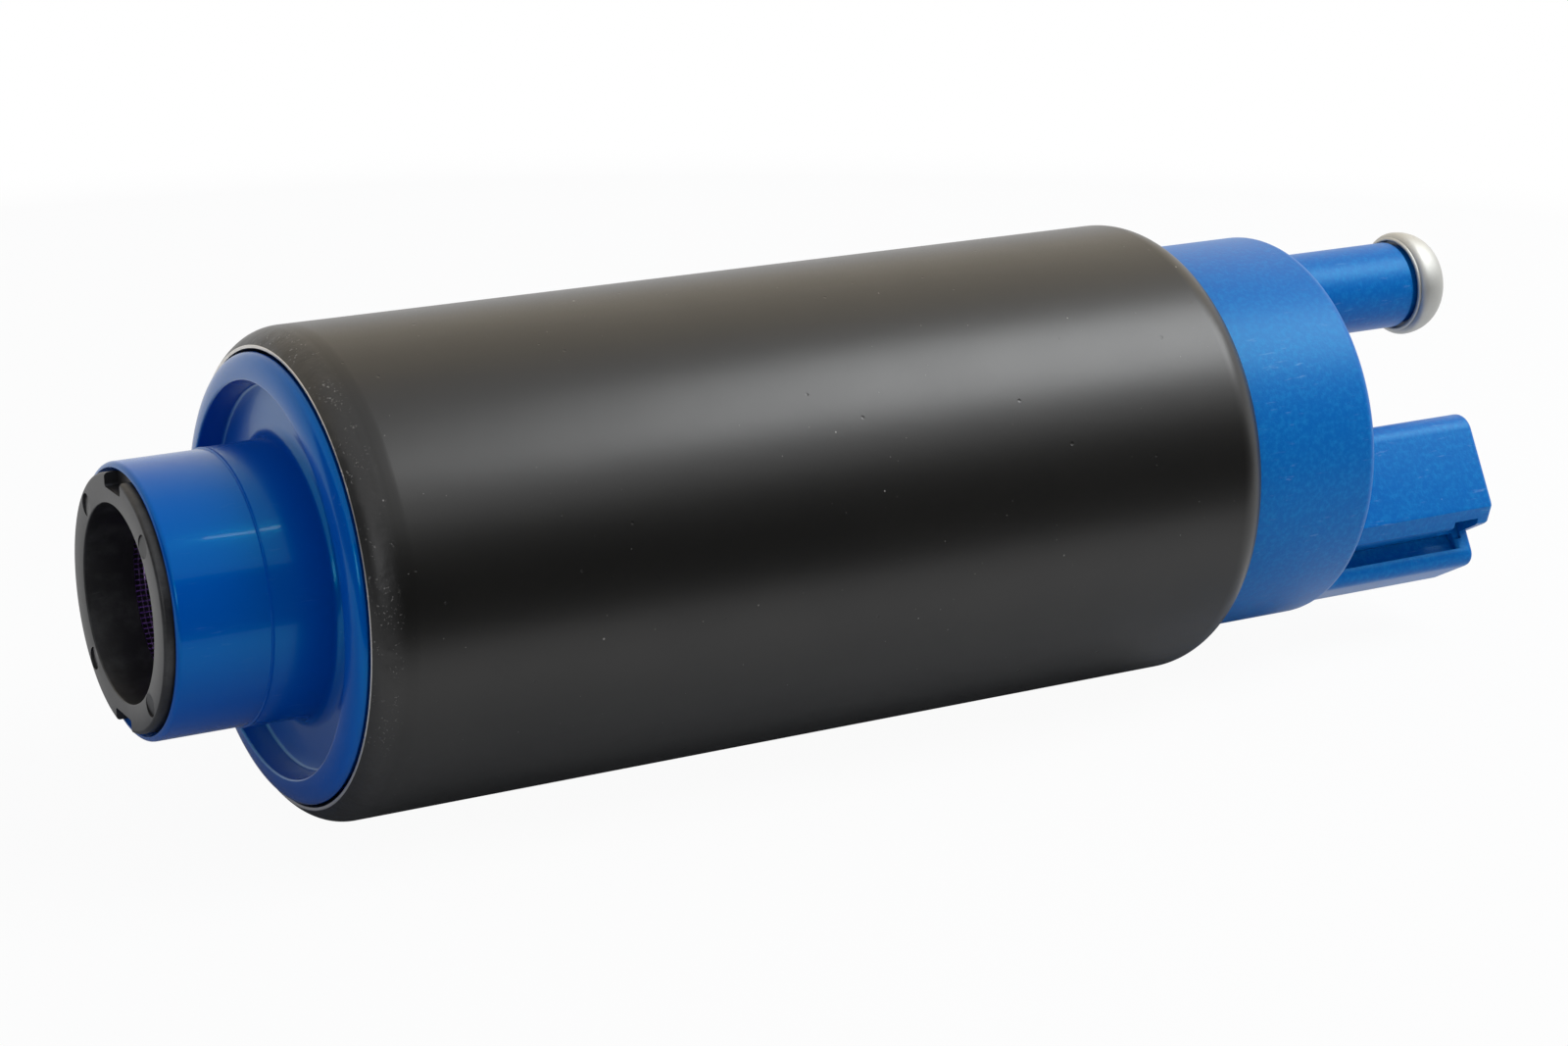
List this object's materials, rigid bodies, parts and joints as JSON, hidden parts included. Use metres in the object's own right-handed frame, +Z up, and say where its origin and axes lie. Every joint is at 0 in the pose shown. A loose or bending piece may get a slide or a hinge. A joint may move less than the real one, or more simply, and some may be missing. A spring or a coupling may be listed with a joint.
{
  "type": "in-tank fuel pump",
  "caption": "In-tank fuel pump: black rolled steel tube, blue inlet spigot with a black ring, blue outlet cap with a tube and an electrical socket.",
  "frame": {"origin": "on the steel tube's axis, 42.85 mm in from its inlet end", "axes": "+X along the tube from the inlet to the outlet, +Z up, +Y away from the viewer of the picture"},
  "size_m": [0.1293, 0.039, 0.039],
  "materials": {
    "black_steel": "satin black coating",
    "blue_cover": "glossy moulded blue",
    "blue_cap": "semi-matte moulded blue",
    "black_ring": "fine matte black",
    "screen": "moulded frame with mesh",
    "stainless": "satin stainless",
    "spring_steel": "bright wire",
    "sintered": "ground sintered steel",
    "cast_plate": "machined",
    "bush": "sintered bronze",
    "shaft_steel": "ground",
    "laminations": "stamped sheet",
    "copper": "enamelled copper",
    "moulding": "filled moulding",
    "carbon": "pressed carbon",
    "ferrite": "ferrite",
    "terminal": "tinned brass",
    "seal": "smooth rubber",
    "check": "natural moulding"
  },
  "bodies": {
    "housing": {"casing": "black_steel", "inlet_cover": "blue_cover", "outlet_cap": "blue_cap", "inlet_ring": "black_ring", "inlet_screen": "screen", "outlet_ferrule": "stainless", "relief_spring": "spring_steel", "check_spring": "spring_steel", "brush_spring_front": "spring_steel", "brush_spring_back": "spring_steel", "clip_front": "spring_steel", "clip_back": "spring_steel", "gerotor_housing": "sintered", "inlet_port_plate": "cast_plate", "outlet_port_plate": "cast_plate", "lower_bush": "bush", "upper_bush": "bush", "choke_front": "copper", "choke_back": "copper", "brush_holder": "moulding", "magnet_upper": "ferrite", "magnet_lower": "ferrite", "terminal_front": "terminal", "terminal_back": "terminal", "cap_seal": "seal"},
    "armature": {"shaft": "shaft_steel", "inner_rotor": "sintered", "lamination_stack": "laminations", "windings": "copper", "commutator_hub": "moulding", "commutator_segments": "carbon"},
    "outer_rotor": {"outer_rotor": "sintered"},
    "check_poppet": {"check_poppet": "check"},
    "relief_poppet": {"relief_poppet": "stainless"},
    "brush_front": {"brush_front": "carbon"},
    "brush_back": {"brush_back": "carbon"}
  },
  "joints": [
    {"name": "armature_spin", "type": "hinge", "parent": "housing", "child": "armature", "pos_m": [0, 0, 0], "axis": [1, 0, 0], "continuous": true},
    {"name": "outer_rotor_spin", "type": "hinge", "parent": "housing", "child": "outer_rotor", "pos_m": [0, 0.0012, 0], "axis": [1, 0, 0], "continuous": true},
    {"name": "check_valve_lift", "type": "slide", "parent": "housing", "child": "check_poppet", "axis": [1, 0, 0], "range_m": [0, 0.002], "stiffness_N_per_m": 150, "springref_m": -0.002, "deforming": ["check_spring"]},
    {"name": "relief_valve_lift", "type": "slide", "parent": "housing", "child": "relief_poppet", "axis": [-1, 0, 0], "range_m": [0, 0.001], "stiffness_N_per_m": 1500, "springref_m": -0.001, "deforming": ["relief_spring"]},
    {"name": "brush_front_slide", "type": "slide", "parent": "housing", "child": "brush_front", "axis": [1, 0, 0], "range_m": [0, 0.002], "stiffness_N_per_m": 250, "springref_m": -0.004, "deforming": ["brush_spring_front"]},
    {"name": "brush_back_slide", "type": "slide", "parent": "housing", "child": "brush_back", "axis": [1, 0, 0], "range_m": [0, 0.002], "stiffness_N_per_m": 250, "springref_m": -0.004, "deforming": ["brush_spring_back"]}
  ],
  "couplings": [
    {"joint": "outer_rotor_spin", "follows": "armature_spin", "ratio": 0.85714}
  ]
}
